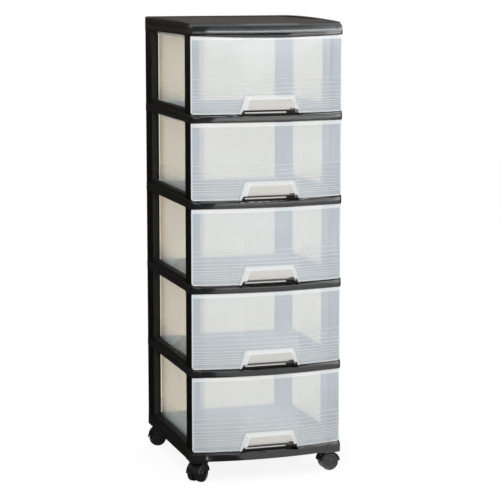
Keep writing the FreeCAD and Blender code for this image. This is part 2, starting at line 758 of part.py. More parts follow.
def round_lower_corners(body):
    """Cut the lower corners of the bowed plate to quarter circles."""
    corner = S["front_corner"]
    for side in (-1, 1):
        sketch = new_sketch(body, "XZ_Plane", -hood_y)
        add_loop(sketch, [((front_half + skin) * side, front_low - skin),
                          ((front_half + skin) * side, front_low + corner),
                          (front_half * side, front_low + corner),
                          ((front_half - corner) * side, front_low),
                          ((front_half - corner) * side, front_low - skin)], {2: (corner, 1)})
        pocket(body, sketch, -hood_y)


def hood_outline(narrow, drop, low, inset=ZERO):
    """Slant-ended outline of the hood seen from the front, with rounded upper corners."""
    full = S["hood_height"]
    slant = S["hood_slant"]
    tall = full - drop - inset
    foot = S["hood_width"] / 2 - narrow - inset
    head = foot - slant * tall / full
    high = front_low + tall
    length = root(slant * slant + full * full)
    reach = (S["hood_corner"] - inset) * full / (length + slant)
    side_x = head + reach * slant / length
    side_z = high - reach * full / length
    corner = S["hood_corner"] - inset
    points = [(-foot, low), (foot, low), (side_x, side_z), (head - reach, high),
              (-(head - reach), high), (-side_x, side_z)]
    return points, {2: (corner, -1), 4: (corner, -1)}


def add_hood(body):
    """Pull hood: block behind the bowed front, tapered nose before it, hollow inside."""
    wall = S["hood_wall"]
    taper = S["hood_taper"]
    slope = S["hood_slope"]
    below = floor_low - wall
    rear_y = pocket_y + wall
    block = new_sketch(body, "XZ_Plane", -rear_y)
    add_loop(block, *hood_outline(ZERO, ZERO, front_low))
    pad(body, block, rear_y - front_mid)
    loft_between(body, "XZ_Plane", (-front_mid, hood_outline(ZERO, ZERO, front_low)),
                 (-hood_y, hood_outline(taper, slope, front_low)))

    cavity = new_sketch(body, "XZ_Plane", -front_mid)
    add_loop(cavity, *hood_outline(ZERO, ZERO, below, wall))
    pocket(body, cavity, pocket_y - front_mid)
    loft_between(body, "XZ_Plane", (-front_mid, hood_outline(ZERO, ZERO, below, wall)),
                 (-(hood_y + wall), hood_outline(taper, slope, below, wall)), cut=True)

    half_mouth = S["hood_width"] / 2 - S["mouth_rim"]
    corner = S["mouth_round"]
    lip = front_low + S["hood_lip"]
    mouth = new_sketch(body, "XZ_Plane", -(hood_y - wall))
    add_loop(mouth, [(-half_mouth, below), (half_mouth, below), (half_mouth, lip - corner),
                     (half_mouth - corner, lip), (-(half_mouth - corner), lip),
                     (-half_mouth, lip - corner)], {2: (corner, -1), 4: (corner, -1)})
    pocket(body, mouth, pocket_y - hood_y + wall)


def hollow_top_edge(body):
    """The top drawer's upper edge gives way to the arched apron of the cover."""
    arch = new_sketch(body, "XZ_Plane", -hood_y)
    high = front_top + S["apron_dip"]
    add_loop(arch, [(-arch_half, front_top), (arch_half, front_top), (arch_half, high),
                    (-arch_half, high)], {0: (arch_radius, 1)})
    pocket(body, arch, -hood_y)


# Casters


def build_caster(name, side, y, turn):
    """Twin-wheel caster: steel stem in the base, hooded housing, axle and two wheels."""
    place = {"x": (half - S["caster_inset"]) * side, "y": corner_plane + y, "turn": turn}
    trail = S["caster_trail"]
    web_half = S["web_width"] / 2

    stem = new_body("caster_stem_" + name, **place)
    pin = new_sketch(stem, "XY_Plane", boss_top - S["stem_engage"] + S["swivel_gap"])
    add_circle(pin, ZERO, ZERO, stem_radius)
    pad(stem, pin, S["caster_height"] + S["socket_depth"] - boss_top + S["stem_engage"] - S["swivel_gap"])
    flange = new_sketch(stem, "XY_Plane", S["caster_height"] - S["stem_flange"])
    add_circle(flange, ZERO, ZERO, S["flange_diameter"] / 2)
    pad(stem, flange, S["stem_flange"])

    housing = new_body("caster_housing_" + name, **place)
    well_radius = wheel_radius + S["hood_clear"]
    shell_radius = well_radius + S["hood_shell"]
    shell = new_sketch(housing, "XZ_Plane", ZERO)
    add_circle(shell, trail, wheel_radius, shell_radius)
    pad(housing, shell, S["hood_half"] * 2, middle=True)
    lower = new_sketch(housing, "XZ_Plane", ZERO)
    reach = shell_radius * 2
    through = S["hood_half"] * 4
    add_loop(lower, box_points(trail - reach, trail + reach, -reach, wheel_radius + S["hood_level"]))
    pocket(housing, lower, through, middle=True)
    boss = new_sketch(housing, "XY_Plane", wheel_radius + S["hood_level"])
    add_circle(boss, ZERO, ZERO, S["boss_diameter"] / 2)
    pad(housing, boss, boss_top - wheel_radius - S["hood_level"])
    for sign in (-1, 1):
        lift = web_half if sign > 0 else -(S["hood_half"] + S["hood_shell"])
        well = new_sketch(housing, "XZ_Plane", lift)
        add_circle(well, trail, wheel_radius, well_radius)
        pocket(housing, well, S["hood_half"] + S["hood_shell"] - web_half, upward=True)
    web = new_sketch(housing, "XZ_Plane", ZERO)
    add_circle(web, trail, wheel_radius, S["web_diameter"] / 2)
    pad(housing, web, S["web_width"], middle=True)
    bore = new_sketch(housing, "XY_Plane", boss_top)
    add_circle(bore, ZERO, ZERO, stem_radius + S["running_fit"])
    pocket(housing, bore, S["stem_engage"])
    eye = new_sketch(housing, "XZ_Plane", ZERO)
    add_circle(eye, trail, wheel_radius, axle_radius + S["running_fit"])
    pocket(housing, eye, through, middle=True)

    wheel_in = web_half + S["wheel_gap"]
    wheel_out = wheel_in + S["wheel_width"]
    axle = new_body("caster_axle_" + name, **place)
    rod = new_sketch(axle, "XZ_Plane", ZERO)
    add_circle(rod, trail, wheel_radius, axle_radius)
    pad(axle, rod, (wheel_out - S["axle_short"]) * 2, middle=True)

    for hand, sign in (("a", 1), ("b", -1)):
        wheel = new_body("caster_wheel_%s_%s" % (name, hand), **place)
        lift = wheel_in if sign > 0 else -wheel_out
        tread = new_sketch(wheel, "XZ_Plane", lift)
        add_circle(tread, trail, wheel_radius, wheel_radius)
        pad(wheel, tread, S["wheel_width"])
        face_y = -wheel_out.value * sign

        def outer_rim(edge):
            return (len(edge.Vertexes) == 1 and near(edge.Curve.Center.y, face_y)
                    and near(edge.Curve.Radius, wheel_radius.value))
        soften(wheel, "Fillet", S["wheel_round"], outer_rim)
        dish = new_sketch(wheel, "XZ_Plane", wheel_out if sign > 0 else -(wheel_out - S["wheel_dish"]))
        add_circle(dish, trail, wheel_radius, wheel_radius - S["wheel_round"] * 2)
        pocket(wheel, dish, S["wheel_dish"])
        hole = new_sketch(wheel, "XZ_Plane", ZERO)
        add_circle(hole, trail, wheel_radius, axle_radius + S["press_play"])
        pocket(wheel, hole, through, middle=True)


def cuts_nothing(item):
    """True for a pocket that leaves the solid before it as it was."""
    if item.TypeId != "PartDesign::Pocket":
        return False
    return item.BaseFeature.Shape.Volume - item.Shape.Volume < LEAST_CUT


def check_and_write():
    doc.recompute()
    for item in doc.Objects:
        if "Invalid" in item.State or "Error" in item.State:
            raise RuntimeError("failed: %s %s" % (item.Name, item.State))
        if cuts_nothing(item):
            raise RuntimeError("cuts nothing: %s" % item.Name)
    os.makedirs("parts", exist_ok=True)
    for item in doc.Objects:
        if item.TypeId != "PartDesign::Body":
            continue
        shape = item.Shape
        if shape.isNull() or not shape.isValid() or len(shape.Solids) != 1:
            raise RuntimeError("bad shape: %s, %d solids" % (item.Label, len(shape.Solids)))
        shape.exportStep("parts/%s.step" % item.Label)
        box = shape.BoundBox
        print("%-24s volume %9.0f  x %7.1f %7.1f  y %7.1f %7.1f  z %7.1f %7.1f" % (
            item.Label, shape.Volume, box.XMin, box.XMax, box.YMin, box.YMax, box.ZMin, box.ZMax))


build_base()
for tier in range(1, TIERS + 1):
    build_side("left", tier, -1)
    build_side("right", tier, 1)
    build_box(tier)
    build_front(tier)
for shelf_number in range(1, TIERS):
    build_shelf(shelf_number)
build_cover()
front_axis = S["caster_inset"]
rear_axis = depth - S["caster_inset"]
build_caster("front_left", -1, front_axis, S["turn_front_left"])
build_caster("front_right", 1, front_axis, S["turn_front_right"])
build_caster("rear_left", -1, rear_axis, S["turn_rear_left"])
build_caster("rear_right", 1, rear_axis, S["turn_rear_right"])
check_and_write()
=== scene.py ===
"""Looks of the drawer tower: rounded mouldings, translucent drawers, casters, stage."""

import json
import math
from types import SimpleNamespace

import bmesh
import bpy
from bpy.props import FloatProperty, FloatVectorProperty, IntProperty, PointerProperty
from bpy.types import Operator, Panel, PropertyGroup
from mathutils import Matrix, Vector


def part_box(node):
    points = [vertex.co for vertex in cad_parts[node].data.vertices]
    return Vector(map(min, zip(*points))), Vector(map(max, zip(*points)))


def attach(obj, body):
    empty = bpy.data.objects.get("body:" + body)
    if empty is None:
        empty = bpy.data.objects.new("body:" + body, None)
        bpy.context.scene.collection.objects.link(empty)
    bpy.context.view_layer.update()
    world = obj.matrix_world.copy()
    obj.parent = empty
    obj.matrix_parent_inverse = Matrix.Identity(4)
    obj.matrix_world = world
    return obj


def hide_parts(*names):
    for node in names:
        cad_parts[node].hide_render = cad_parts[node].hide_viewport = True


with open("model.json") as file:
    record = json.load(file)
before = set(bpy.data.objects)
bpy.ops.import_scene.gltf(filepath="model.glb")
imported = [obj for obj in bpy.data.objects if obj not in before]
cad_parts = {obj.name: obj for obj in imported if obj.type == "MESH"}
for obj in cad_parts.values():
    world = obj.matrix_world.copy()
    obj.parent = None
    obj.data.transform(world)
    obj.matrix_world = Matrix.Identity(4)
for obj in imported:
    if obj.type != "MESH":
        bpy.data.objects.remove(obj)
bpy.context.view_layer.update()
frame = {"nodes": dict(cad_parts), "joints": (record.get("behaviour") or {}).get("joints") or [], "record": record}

bl_info = {
    "name": "Drawer tower looks",
    "version": (1, 0, 0),
    "blender": (4, 5, 0),
    "location": "3D View > Sidebar > Drawer tower",
    "description": "Builds the finished pieces of a five-drawer tower on casters "
                   "round its packed frame",
    "category": "Object",
}

MM = 0.001
TIERS = 5
SIDES = ("left", "right")
CORNERS = ("front_left", "front_right", "rear_left", "rear_right")


# Places and sizes that follow from the solids


BOW_HALF = 171.7 * MM  # half the chord of the bowed drawer fronts
BOW_RISE = 20.9 * MM  # how far they bow over that chord
HOOD_PROUD = 9.0 * MM  # pull hood before the front it stands on
BOW_Y = -0.150  # the bowed faces of the mouldings lie before this
RAIL_FRONT = (-0.133, -0.121)  # rails of the side frames start here
RAIL_REAR = (0.152, 0.140)  # and end here
POST_REAR = (0.140, 0.185)  # rear posts, whose inner faces look to the front
BAR_TOP = 253.5 * MM  # top of the lowest shelf frame's bar
BAR_FACE = (0.5 * MM, 12.0 * MM)  # a bar's bowed face, down from its top
COVER_RISE = 24.5 * MM  # top of the cover above the upright part of its fascia
FASCIA = (-4.0 * MM, 12.0 * MM)  # the fascia swells from here to here about that place

# Parts of a drawer, by their depth, height and width
FRONT_DEEP = 40.0 * MM  # the front with its pull
PLATE_DEEP = 5.5 * MM  # the front's own wall
RIB_OUT = (0.12 * MM, 1.0 * MM)
HOOD_OUT = 1.0 * MM
FACE_OUT = 4.0 * MM  # the hood's own front
HEM_TALL = 9.0 * MM
RIM_TALL = 8.0 * MM
FLOOR_TALL = 8.0 * MM
FOOT_TALL = 3.2 * MM
OUTLINE_WIDE = 2.6 * MM
LOW_SIDE = (44.0 * MM, 8.0 * MM)  # the side walls get milkier from here down to here
MOUTH_HALF = 62.0 * MM  # half the width of the mouth under the pull hood
MOUTH_TALL = 9.4 * MM  # edge of the hood's lip above the drawer's foot
MOUTH_DEEP = (3.0 * MM, 28.0 * MM)
# The ledge is lit by a painted glow, not by the lamps
LEDGE_END = 42.0 * MM  # the lit ledge in the mouth ends here
# The mouth's shadow in these lines is a painted shadow on the hood's face
SHADOW_TOP = 0.82  # below this height the mouth's shadow climbs up the hood
SHADOW_GROWTH = 0.0062
SHADOW_STEP = 2.5 * MM  # and it climbs this much more past the ledge's end
REAR_CORNER = (136.0 * MM, 181.45 * MM)  # middle of the rounding of a drawer's rear corners
CORNER_TIGHTER = 5.0 * MM  # how much the looks take from that rounding

RIB_ROWS = (0.075, 0.45)  # lowest and highest rib, as shares of the drawer's height
RIB_GROWTH = 1.13  # each gap between ribs is wider than the one below it
RIB_STEPS = 120
RIB_INSET = 3.0 * MM
HOOD_FOOT = 71.0 * MM  # half the width of the pull hood at its foot, ribs stop there
HOOD_SLANT = 13.0 / 40.0
HOOD_TALL = 41.0 * MM

# Creases along the bowed bars, which are rounded most
CREASE_ANGLE = math.radians(9.0)
CREASE_FALL = 4.0 * MM  # a crease along the bar falls less than this
CREASE_Y = -0.160
CREASE_OUT = 0.8 * MM  # outside the drawers' bow
CREASE_END = 160.0 * MM
CREASE_FADE = 14.0 * MM
UPPER_TALL = 6.0 * MM
UPPER_SHARE = 0.9
LOWER_SHARE = 0.55

WELD = 0.01 * MM  # corners of the solids nearer than this are one
FRAME_ANGLE = math.radians(30.0)  # sharper edges of the mouldings are rounded
PART_ANGLE = math.radians(35.0)  # the same for drawers and casters
SHARP_ANGLE = math.radians(38.0)  # edges that stay sharp in the shading
RIB_SHARP_ANGLE = math.radians(50.0)
STEEL_EDGE = 0.3 * MM

# Half of a wheel's section: place along the axle from the caster's middle, radius, rounding
WHEEL = tuple((along * MM, radius * MM, reach * MM) for along, radius, reach in (
    (4.4, 0.0, 0.0), (4.4, 8.0, 0.6), (5.2, 9.0, 0.6), (5.2, 15.5, 0.8),
    (4.4, 16.5, 0.6), (4.4, 20.0, 1.6), (15.9, 20.0, 4.2), (15.9, 16.6, 0.8),
    (14.9, 15.4, 0.8), (14.9, 6.2, 0.8), (15.7, 5.2, 0.7), (15.7, 0.0, 0.0)))
WHEEL_STEPS = 56
ROUND_STEPS = 4


# Fixed looks


# Swell of the polished faces in the surface finish: bends in 1/m, and slopes
BAR_BEND = 9.0
BAR_SLOPE = 0.15
FASCIA_BEND_LOW = -19.4
FASCIA_BEND_HIGH = 14.0
FASCIA_SLOPE = 0.155

POLISH_FADE = (-11.0 * MM, -8.0 * MM)  # the polish grows over this depth about the fronts' bow
STRAIGHT = 0.9  # a face looks along an axis from this part of its normal on
LEVEL = 0.7

DUST = (0.090, 0.081, 0.070, 1.0)
# Painted light: lighter brown for the rear posts' inner faces that look to the front
POST_INSIDE_LIT = (0.019, 0.0165, 0.0115, 1.0)
SCUFF = (0.05, 0.05, 0.052, 1.0)
ZINC_DARK = (0.50, 0.51, 0.53, 1.0)
ZINC_PALE = (0.62, 0.63, 0.64, 1.0)
SIDE_TINT = (0.74, 0.88, 0.96, 1.0)
THICK_WHITE = (0.90, 0.925, 0.935, 1.0)
FLAT_WHITE = (0.90, 0.93, 0.95, 1.0)
# Painted shade for the mouth under the pull hood
MOUTH_PAINTED_SHADE = (0.03, 0.03, 0.03, 1.0)
# Painted glow of the ledge at the foot of the mouth
LEDGE_PAINTED_GLOW = (0.70, 0.71, 0.71, 1.0)
NO_GLOW = (0.0, 0.0, 0.0, 1.0)

LOW_SIDE_VEIL = 0.26  # added at the foot of a drawer's side walls
FACE_VEIL = 0.34
# how much the painted shade in the mouth covers
MOUTH_SHADE_VEIL = 0.85

WHITE = (1.0, 1.0, 1.0)
HAZE = (0.9, 0.95, 1.0)
CARD_BLACK = (0.012, 0.011, 0.010)
CARD_GREY = (0.24, 0.225, 0.205)
HAZE_GLOW = 1.5
FLOOR_GLOW = 1.10
FLOOR_SHARE = 0.8
FLOOR_HALF = 6.0
CARD_STEPS = 40

# Lamps: where they are, what they point at, width and height
KEY = ((-1.6, -2.6, 2.6), (0.0, 0.0, 0.55), (2.8, 2.4))
FILL = ((2.2, -1.6, 1.4), (0.0, 0.0, 0.5), (1.2, 1.8))
CAMERA_PLACE = (-1.2455, -3.9548, 1.1374)
CAMERA_TURN = (math.pi / 2 - 0.155, 0.0, -0.309)
SENSOR_WIDTH = 36.0
VIEW_END = 50.0


# Sizes and colours that a user may change


class MouldingSettings(PropertyGroup):
    """The black mouldings of the frame"""
    edge: FloatProperty(
        name="Edge rounding", description="Rounded edges of the black mouldings",
        default=0.5 * MM, min=0.1 * MM, max=0.8 * MM, unit="LENGTH", precision=5)
    bar_edge: FloatProperty(
        name="Bar rounding", description="Rounded creases along the bowed front bars",
        default=2.0 * MM, min=0.5 * MM, max=2.4 * MM, unit="LENGTH", precision=5)
    colour: FloatVectorProperty(
        name="Black", description="Colour of the frame plastic",
        default=(0.0068, 0.0062, 0.0058), min=0.0, max=1.0, size=3, subtype="COLOR")
    polish: FloatVectorProperty(
        name="Polished black", description="Colour of the polished bars and the fascia",
        default=(0.0100, 0.0103, 0.0112), min=0.0, max=1.0, size=3, subtype="COLOR")
    grain: FloatProperty(
        name="Grain", description="Size of the fine moulded grain",
        default=0.9 * MM, min=0.2 * MM, max=5.0 * MM, unit="LENGTH", precision=5)


class DrawerSettings(PropertyGroup):
    """The translucent drawers and the ribs on their fronts"""
    edge: FloatProperty(
        name="Edge rounding", description="Rounded edges of the drawer walls",
        default=0.45 * MM, min=0.1 * MM, max=1.0 * MM, unit="LENGTH", precision=5)
    colour: FloatVectorProperty(
        name="Plastic", description="Colour of the translucent plastic",
        default=(0.715, 0.81, 0.91), min=0.0, max=1.0, size=3, subtype="COLOR")
    warmth: FloatVectorProperty(
        name="Light let through", description="Colour of the light that passes one surface",
        default=(1.0, 0.948, 0.868), min=0.0, max=1.0, size=3, subtype="COLOR")
    veil: FloatProperty(
        name="Milkiness", description="Share of light that one surface of the front scatters",
        default=0.42, min=0.0, max=1.0, subtype="FACTOR")
    box_veil: FloatProperty(
        name="Box milkiness", description="The same in the thinner walls behind the front",
        default=0.25, min=0.0, max=1.0, subtype="FACTOR")
    floor_veil: FloatProperty(
        name="Floor milkiness", description="The same in the floor of the drawer",
        default=0.95, min=0.0, max=1.0, subtype="FACTOR")
    hem_veil: FloatProperty(
        name="Hem milkiness", description="The same in the thick hem, the outline and the ribs",
        default=0.66, min=0.0, max=1.0, subtype="FACTOR")
    rib_count: IntProperty(
        name="Ribs", description="Fine ribs across each front", default=10, min=2, max=40)
    rib_radius: FloatProperty(
        name="Rib radius", description="Half thickness of a rib",
        default=0.6 * MM, min=0.2 * MM, max=2.0 * MM, unit="LENGTH", precision=5)
    rib_proud: FloatProperty(
        name="Rib height", description="How far a rib stands out of the front",
        default=0.4 * MM, min=0.1 * MM, max=2.0 * MM, unit="LENGTH", precision=5)


class CasterSettings(PropertyGroup):
    """The plastic of the casters"""
    edge: FloatProperty(
        name="Edge rounding", description="Rounded edges of the caster housings",
        default=1.0 * MM, min=0.1 * MM, max=2.0 * MM, unit="LENGTH", precision=5)
    colour: FloatVectorProperty(
        name="Black", description="Colour of the caster plastic",
        default=(0.012, 0.012, 0.013), min=0.0, max=1.0, size=3, subtype="COLOR")


class StageSettings(PropertyGroup):
    """Light and lens"""
    key: FloatProperty(
        name="Key light", description="Power of the large light before the tower, in watts",
        default=54.0, min=0.0, max=2000.0)
    fill: FloatProperty(
        name="Fill light", description="Power of the light from the other side, in watts",
        default=18.0, min=0.0, max=2000.0)
    strip: FloatProperty(
        name="Strip card", description="Glow of the strip that draws the line on the fascia",
        default=12.0, min=0.0, max=100.0)
    dawn: FloatProperty(
        name="Low card", description="Glow of the far low card that draws the line on the bars",
        default=3.4, min=0.0, max=100.0)
    sky: FloatProperty(
        name="Room light", description="Strength of the even light of the room",
        default=0.70, min=0.0, max=5.0)
    lens: FloatProperty(
        name="Lens", description="Focal length for a 36 mm sensor, in millimetres",
        default=132.3, min=10.0, max=400.0)


class TowerSettings(PropertyGroup):
    """All of the above"""
    moulding: PointerProperty(type=MouldingSettings)
    drawer: PointerProperty(type=DrawerSettings)
    caster: PointerProperty(type=CasterSettings)
    stage: PointerProperty(type=StageSettings)


def settings():
    return bpy.context.scene.tower_settings


# Node trees


class Wire:
    """A node's output that can be written in sums."""

    def __init__(self, tree, socket):
        self.tree = tree
        self.socket = socket

    def maths(self, operation, *values):
        return self.tree.add("ShaderNodeMath", {"operation": operation}, dict(enumerate(values)))

    def __add__(self, other):
        return self.maths("ADD", self, other)

    def __radd__(self, other):
        return self.maths("ADD", other, self)

    def __sub__(self, other):
        return self.maths("SUBTRACT", self, other)

    def __rsub__(self, other):
        return self.maths("SUBTRACT", other, self)

    def __mul__(self, other):
        return self.maths("MULTIPLY", self, other)

    def __rmul__(self, other):
        return self.maths("MULTIPLY", other, self)

    def __truediv__(self, other):
        return self.maths("DIVIDE", self, other)

    def __rtruediv__(self, other):
        return self.maths("DIVIDE", other, self)

    def __pow__(self, other):
        return self.maths("POWER", self, other)

    def __rpow__(self, other):
        return self.maths("POWER", other, self)

    def __abs__(self):
        return self.maths("ABSOLUTE", self)

    def root(self):
        return self.maths("SQRT", self)

    def above(self, edge):
        return self.maths("GREATER_THAN", self, edge)

    def below(self, edge):
        return self.maths("LESS_THAN", self, edge)

    def wrapped(self, low, high):
        """The value moved by whole spans until it lies between low and high."""
        return self.maths("WRAP", self, high, low)


class Tree:
    """Adds nodes to a node tree."""

    def __init__(self, tree):
        self.tree = tree

    def add(self, kind, choices=None, sockets=None, out=0):
        """A node of this kind: its choices are set first, then its sockets by name or number."""
        node = self.tree.nodes.new(kind)
        for name, value in (choices or {}).items():
            setattr(node, name, value)
        for name, value in (sockets or {}).items():
            socket = node.inputs[name]
            if isinstance(value, Wire):
                self.tree.links.new(value.socket, socket)
            else:
                socket.default_value = value
        return Wire(self, node.outputs[out]) if node.outputs else node

    def also(self, wire, out):
        """Another output of the node that a wire comes from."""
        return Wire(self, wire.socket.node.outputs[out])

    def split(self, vector):
        """The three parts of a vector."""
        x = self.add("ShaderNodeSeparateXYZ", None, {"Vector": vector})
        return x, self.also(x, "Y"), self.also(x, "Z")

    def joined(self, x=0.0, y=0.0, z=0.0):
        """A vector from its parts."""
        return self.add("ShaderNodeCombineXYZ", None, {"X": x, "Y": y, "Z": z})

    def most(self, first, *others):
        """The greatest of several values."""
        for other in others:
            first = first.maths("MAXIMUM", first, other)
        return first


class Finish(Tree):
    """A material's tree, with the places and patterns that the finishes share."""

    def __init__(self, name):
        self.material = bpy.data.materials.new(name)
        self.material.use_nodes = True
        super().__init__(self.material.node_tree)
        self.tree.nodes.clear()
        self.place = self.add("ShaderNodeTexCoord", out="Object")

    def axes(self):
        """The three object coordinates."""
        return self.split(self.place)

    def facing(self):
        """The three parts of the surface's normal."""
        return self.split(self.add("ShaderNodeNewGeometry", out="Normal"))

    def noise(self, size, detail, rough, place=None):
        return self.add("ShaderNodeTexNoise", None, {
            "Vector": place or self.place, "Scale": 1.0 / size,
            "Detail": detail, "Roughness": rough})

    def stretched(self, x, y, z):
        """Object coordinates stretched along the axes."""
        return self.add("ShaderNodeMapping", None, {"Vector": self.place, "Scale": (x, y, z)})

    def spread(self, value, low, high, to_low=0.0, to_high=1.0):
        """The value's place between low and high, on the span from to_low to to_high."""
        return self.add("ShaderNodeMapRange", {"clamp": True}, {
            "Value": value, "From Min": low, "From Max": high,
            "To Min": to_low, "To Max": to_high})

    def mixed(self, share, one, other):
        """A colour: one where the share is 0, the other where it is 1."""
        return self.add("ShaderNodeMix", {"data_type": "RGBA"}, {0: share, 6: one, 7: other}, out=2)

    def bump(self, height, distance, strength, normal=None):
        sockets = {"Height": height, "Distance": distance, "Strength": strength}
        if normal is not None:
            sockets["Normal"] = normal
        return self.add("ShaderNodeBump", None, sockets)

    def principled(self, **sockets):
        named = {name.replace("_", " "): value for name, value in sockets.items()}
        return self.add("ShaderNodeBsdfPrincipled", None, named)

    def end(self, shader):
        self.add("ShaderNodeOutputMaterial", None, {"Surface": shader})
        return self.material


def rgba(colour, share=1.0):
    return (colour[0] * share, colour[1] * share, colour[2] * share, 1.0)


# Finishes


class Black(Finish):
    """Black plastic with a fine moulded grain, faint flow marks and a little dust on top."""

    def __init__(self, name, colour, grain, rough, shine, dusty):
        super().__init__(name)
        fine = self.noise(grain, 3.0, 0.6)
        flow = self.noise(60 * MM, 2.0, 0.5)
        cloud = self.noise(14 * MM, 3.0, 0.55)
        shade = self.mixed(self.spread(flow * 0.6 + fine * 0.4, 0.3, 0.7),
                           rgba(colour, 0.75), rgba(colour, 1.3))
        upward = self.facing()[2]
        dust = self.spread(upward, 0.6, 1.0) * self.spread(cloud, 0.35, 0.8) * dusty
        self.shade = self.mixed(dust, shade, DUST)
        self.rough = rough + self.spread(cloud, 0.3, 0.7) * 0.06 + dust * 0.25
        self.normal = self.bump(flow, 0.12 * MM, 0.35, self.bump(fine, 0.03 * MM, 0.8))
        self.shine = shine

    def done(self, **more):
        return self.end(self.principled(
            Base_Color=self.shade, Roughness=self.rough, Normal=self.normal,
            IOR=1.5, Specular_IOR_Level=self.shine, **more))


class Polished(Black):
    """The frame's black, polished along the bowed front, where it can swell."""

    def __init__(self, name):
        moulding = settings().moulding
        super().__init__(name, rgba(moulding.colour, 2.3), moulding.grain,
                         rough=0.42, shine=0.30, dusty=0.30)
        x, y, z = self.axes()
        self.high = z
        self.polish = self.spread(out_of_bow(x, y), *POLISH_FADE) * y.below(BOW_Y)
        self.shade = self.mixed(self.polish, self.shade, rgba(moulding.polish))
        self.rough = self.rough + self.polish * (0.16 - self.rough)

    def swollen(self, swell):
        self.normal = self.bump(swell, 1.0, 1.0, self.normal)
        return self.done(Coat_Weight=self.polish * 0.8, Coat_Roughness=0.1)


def frame_black():
    """Grained black of the side frames, paler on the rails, with painted light on the rear posts' inner faces."""
    moulding = settings().moulding
    tree = Black("frame_black", rgba(moulding.colour, 0.6), moulding.grain,
                 rough=0.45, shine=0.20, dusty=0.25)
    y = tree.axes()[1]
    rail = tree.spread(y, *RAIL_FRONT) * tree.spread(y, *RAIL_REAR)
    tree.shade = tree.mixed(rail, tree.shade, rgba(moulding.colour, 1.9))
    # Painted light: the rear posts' inner faces, which look to the front, are coloured lighter brown as if lit
    ahead = tree.facing()[1].below(-STRAIGHT)
    inner = ahead * y.above(POST_REAR[0]) * y.below(POST_REAR[1])
    tree.shade = tree.mixed(inner, tree.shade, POST_INSIDE_LIT)
    return tree.done()


def front_black():
    """Polished black of the base and the shelf frames, whose bars swell softly."""
    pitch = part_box("shelf_frame_2")[1].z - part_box("shelf_frame_1")[1].z
    tree = Polished("front_black")
    down = BAR_TOP - tree.high.wrapped(BAR_TOP - pitch / 2, BAR_TOP + pitch / 2)
    face = down.above(BAR_FACE[0]) * down.below(BAR_FACE[1])
    return tree.swollen((down * down * BAR_BEND - down * BAR_SLOPE) * face)


def cover_black():
    """Polished black that swells softly over the height of the fascia."""
    tree = Polished("cover_black")
    up = tree.high - (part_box("top_cover")[1].z - COVER_RISE)
    up = tree.spread(up, *FASCIA, *FASCIA)
    bend = up.above(0.0) * (FASCIA_BEND_HIGH - FASCIA_BEND_LOW) + FASCIA_BEND_LOW
    return tree.swollen(up * up * bend - up * FASCIA_SLOPE)


def caster_black():
    """Glossier black of the caster housings."""
    return Black("caster_black", settings().caster.colour, 0.7 * MM,
                 rough=0.22, shine=0.6, dusty=0.15).done()


def wheel_black():
    """Smooth black of the wheels with faint scuffs."""
    tree = Finish("wheel_black")
    colour = settings().caster.colour
    fine = tree.noise(0.5 * MM, 3.0, 0.6)
    scuff = tree.spread(tree.noise(6 * MM, 4.0, 0.7), 0.45, 0.75)
    return tree.end(tree.principled(
        Base_Color=tree.mixed(scuff * 0.5, rgba(colour, 0.9), SCUFF),
        Roughness=0.2 + scuff * 0.25, Normal=tree.bump(fine, 0.02 * MM, 0.6), IOR=1.5))


def zinc_steel():
    """Zinc-plated steel with fine turning marks."""
    tree = Finish("zinc_steel")
    marks = tree.noise(0.4 * MM, 3.0, 0.6, tree.stretched(1.0, 1.0, 12.0))
    cloud = tree.noise(5 * MM, 2.0, 0.5)
    return tree.end(tree.principled(
        Base_Color=tree.mixed(tree.spread(cloud, 0.3, 0.7), ZINC_DARK, ZINC_PALE),
        Metallic=1.0, Roughness=0.28 + tree.spread(marks, 0.3, 0.7) * 0.12,
        Normal=tree.bump(marks, 0.01 * MM, 0.5)))


def drawer_parts(tree):
    """Masks of a drawer's parts: 1 on the part and 0 off it, or less where it counts less."""
    x, y, z = tree.axes()
    across, along, upward = (abs(part) for part in tree.facing())
    low, high = drawer_span(1)
    pitch = drawer_span(2)[0].z - low.z
    tall = high.z - low.z
    height = z.wrapped(low.z, low.z + pitch) - low.z
    out = out_of_bow(x, y)

    front = y.below(low.y + FRONT_DEEP)
    frontal = along.above(STRAIGHT) * front
    plate = out.above(-PLATE_DEEP) * front
    base = upward.above(LEVEL) * height.below(FLOOR_TALL) * (1.0 - plate)
    side = across.above(STRAIGHT) * (1.0 - front)

    rib = out.above(RIB_OUT[0]) * out.below(RIB_OUT[1]) * front
    hood = out.above(HOOD_OUT) * front
    face = out.above(FACE_OUT) * frontal
    hem = height.above(tall - HEM_TALL) * front
    rim = height.above(tall - RIM_TALL)
    outline = abs(x).above(high.x - OUTLINE_WIDE) * front
    foot = height.below(FOOT_TALL) * frontal
    # The hood's top and slanted ends count as thick: whiter partly from thicker plastic, partly as a painted
    # highlight of the light on its top
    thick = tree.most(rib, hood * (1.0 - face), hem * 0.4, outline, foot, rim * 0.8)

    # The mouth under the hood: painted shade for a dark gap, a painted glow on a ledge at its foot,
    # and a painted shadow that climbs up the hood's face in the lower tiers and past the ledge's end
    mouth = abs(x).below(MOUTH_HALF)
    back = y - low.y
    behind = back.above(MOUTH_DEEP[0]) * back.below(MOUTH_DEEP[1]) * height.below(MOUTH_TALL)
    # Where the painted glow lies: the ledge at the foot of the mouth
    ledge = behind * foot * mouth * x.below(LEDGE_END)
    rise = (SHADOW_TOP - z) * SHADOW_GROWTH + x.above(LEDGE_END) * SHADOW_STEP
    # A painted shadow on the hood's face, just above its lip
    shadow = face * (height - MOUTH_TALL).below(rise)
    gloom = tree.most(behind * (1.0 - ledge), shadow) * mouth

    return SimpleNamespace(
        plate=plate, base=base, side=side, thick=thick, face=face, ledge=ledge, gloom=gloom,
        low_side=side * tree.spread(height, *LOW_SIDE))


